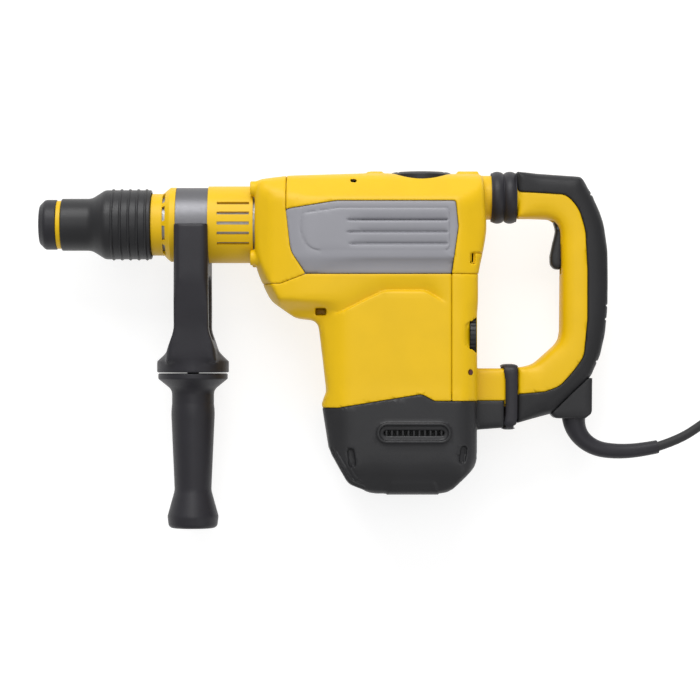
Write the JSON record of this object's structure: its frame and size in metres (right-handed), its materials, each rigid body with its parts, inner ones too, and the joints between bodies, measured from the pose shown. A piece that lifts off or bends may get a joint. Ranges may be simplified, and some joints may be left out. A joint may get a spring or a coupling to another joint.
{
  "type": "rotary hammer",
  "caption": "Corded rotary hammer with a round bit socket behind a sliding lock sleeve, a side handle that clamps round the nose and a sprung rear D-handle with a trigger.",
  "frame": {"origin": "middle of the tool's box on the surface it lies on, without the lead", "axes": "the tool lies on its right side: +X from the nose to the D-handle, +Y to the top of the tool in use, +Z out of its left side"},
  "size_m": [0.705, 0.303, 0.104],
  "materials": {
    "yellow_abs": "moulded glass-filled nylon, fine spark texture",
    "charcoal_shell": "moulded nylon, fine texture",
    "black_overmould": "soft overmould, satin",
    "black_rubber": "moulded rubber, matt",
    "grey_panel": "moulded nylon, satin",
    "steel_band": "rolled strip, satin",
    "hardened_steel": "ground and hardened",
    "gear_steel": "cut and hardened",
    "bearing_steel": "polished",
    "cast_aluminium": "die cast, as cast",
    "lamination": "stacked laminations",
    "copper": "enamelled windings",
    "brass": "drawn",
    "carbon": "pressed carbon",
    "fan_nylon": "moulded nylon",
    "electronics": "potted module",
    "spring_steel": "oiled spring wire",
    "zinc_screw": "zinc plated",
    "red_lens": "clear red lens",
    "cord_rubber": "rubber sheath"
  },
  "bodies": {
    "housing": {"nose_tube": "cast_aluminium", "neck_cover": "yellow_abs", "vent_collar": "yellow_abs", "gear_case": "cast_aluminium", "gear_plate": "cast_aluminium", "ball_bearings": "bearing_steel", "stator_core": "lamination", "field_coils": "copper", "brush_holders": "brass", "carbon_brushes": "carbon", "control_module": "electronics", "front_cover": "yellow_abs", "top_cover": "yellow_abs", "side_panel_left": "grey_panel", "side_panel_right": "grey_panel", "motor_housing": "yellow_abs", "rear_cover": "yellow_abs", "end_cap": "charcoal_shell", "nose_screws": "zinc_screw", "service_lamp": "red_lens", "upper_boot": "black_rubber", "lower_boot": "black_rubber"},
    "spindle": {"spindle": "hardened_steel", "ring_gear": "gear_steel", "locking_rollers": "hardened_steel", "dust_cap": "black_rubber", "lock_ring": "yellow_abs", "sleeve_spring": "spring_steel"},
    "lock_sleeve": {"lock_sleeve": "charcoal_shell"},
    "impact_bolt": {"impact_bolt": "hardened_steel"},
    "striker": {"striker": "hardened_steel"},
    "piston": {"piston": "cast_aluminium", "wrist_pin": "hardened_steel"},
    "connecting_rod": {"connecting_rod": "cast_aluminium"},
    "armature": {"armature_shaft": "hardened_steel", "armature_core": "lamination", "commutator": "copper", "fan": "fan_nylon"},
    "crank": {"crank_gear": "gear_steel"},
    "intermediate": {"intermediate_gear": "gear_steel", "bevel_pinion": "gear_steel"},
    "mode_dial": {"mode_dial": "charcoal_shell"},
    "speed_dial": {"speed_dial": "charcoal_shell"},
    "side_handle": {"clamp_band": "steel_band", "handle_yoke": "charcoal_shell", "clamp_bolt": "zinc_screw"},
    "side_grip": {"side_grip": "black_rubber"},
    "rear_handle": {"handle_shell_left": "yellow_abs", "handle_shell_right": "yellow_abs", "grip_overmould": "black_overmould", "trigger_switch": "electronics", "pivot_pin": "hardened_steel", "shell_screws": "zinc_screw", "damper_spring": "spring_steel", "cable_guard": "black_overmould", "bend_sleeve": "black_rubber", "cable": "cord_rubber", "cable_coil": "cord_rubber", "plug": "cord_rubber"},
    "trigger": {"trigger": "charcoal_shell"}
  },
  "joints": [
    {"name": "spindle_spin", "type": "hinge", "parent": "housing", "child": "spindle", "pos_m": [-0.1, 0.106, 0.052], "axis": [1, 0, 0], "continuous": true},
    {"name": "lock_sleeve_slide", "type": "slide", "parent": "spindle", "child": "lock_sleeve", "axis": [1, 0, 0], "range_m": [0, 0.008], "stiffness_N_per_m": 3000, "deforming": ["sleeve_spring"]},
    {"name": "bolt_slide", "type": "slide", "parent": "spindle", "child": "impact_bolt", "axis": [1, 0, 0], "range_m": [-0.008, 0]},
    {"name": "striker_slide", "type": "slide", "parent": "spindle", "child": "striker", "axis": [1, 0, 0], "range_m": [-0.013, 0.01]},
    {"name": "piston_slide", "type": "slide", "parent": "housing", "child": "piston", "axis": [1, 0, 0], "range_m": [-0.022, 0]},
    {"name": "rod_swing", "type": "hinge", "parent": "piston", "child": "connecting_rod", "pos_m": [-0.002, 0.106, 0.052], "axis": [0, 1, 0], "range_deg": [-12.7, 12.7]},
    {"name": "armature_spin", "type": "hinge", "parent": "housing", "child": "armature", "pos_m": [0.063, 0, 0.052], "axis": [0, 1, 0], "continuous": true},
    {"name": "crank_spin", "type": "hinge", "parent": "housing", "child": "crank", "pos_m": [0.037, 0.06, 0.052], "axis": [0, 1, 0], "continuous": true},
    {"name": "intermediate_spin", "type": "hinge", "parent": "housing", "child": "intermediate", "pos_m": [0.001, 0.06, 0.052], "axis": [0, 1, 0], "continuous": true},
    {"name": "mode_dial_turn", "type": "hinge", "parent": "housing", "child": "mode_dial", "pos_m": [0.0825, 0.139, 0.052], "axis": [0, 1, 0], "range_deg": [0, 120]},
    {"name": "speed_dial_turn", "type": "hinge", "parent": "housing", "child": "speed_dial", "pos_m": [0.125, 0.012, 0.085], "axis": [1, 0, 0], "range_deg": [-135, 135]},
    {"name": "side_handle_turn", "type": "hinge", "parent": "housing", "child": "side_handle", "pos_m": [-0.111, 0.106, 0.052], "axis": [1, 0, 0], "continuous": true},
    {"name": "grip_twist", "type": "hinge", "parent": "side_handle", "child": "side_grip", "pos_m": [-0.111, -0.02, 0.052], "axis": [0, 1, 0], "continuous": true},
    {"name": "rear_handle_swing", "type": "hinge", "parent": "housing", "child": "rear_handle", "pos_m": [0.158, -0.041, 0.052], "axis": [0, 0, 1], "range_deg": [0, 1.8], "stiffness_Nm_per_rad": 500, "deforming": ["damper_spring", "upper_boot", "lower_boot"]},
    {"name": "trigger_pull", "type": "hinge", "parent": "rear_handle", "child": "trigger", "pos_m": [0.199, 0.103, 0.052], "axis": [0, 0, 1], "range_deg": [0, 7], "stiffness_Nm_per_rad": 1}
  ],
  "couplings": [
    {"joint": "crank_spin", "follows": "armature_spin", "ratio": -0.18182},
    {"joint": "intermediate_spin", "follows": "armature_spin", "ratio": 0.051948},
    {"joint": "spindle_spin", "follows": "armature_spin", "ratio": -0.018335}
  ]
}
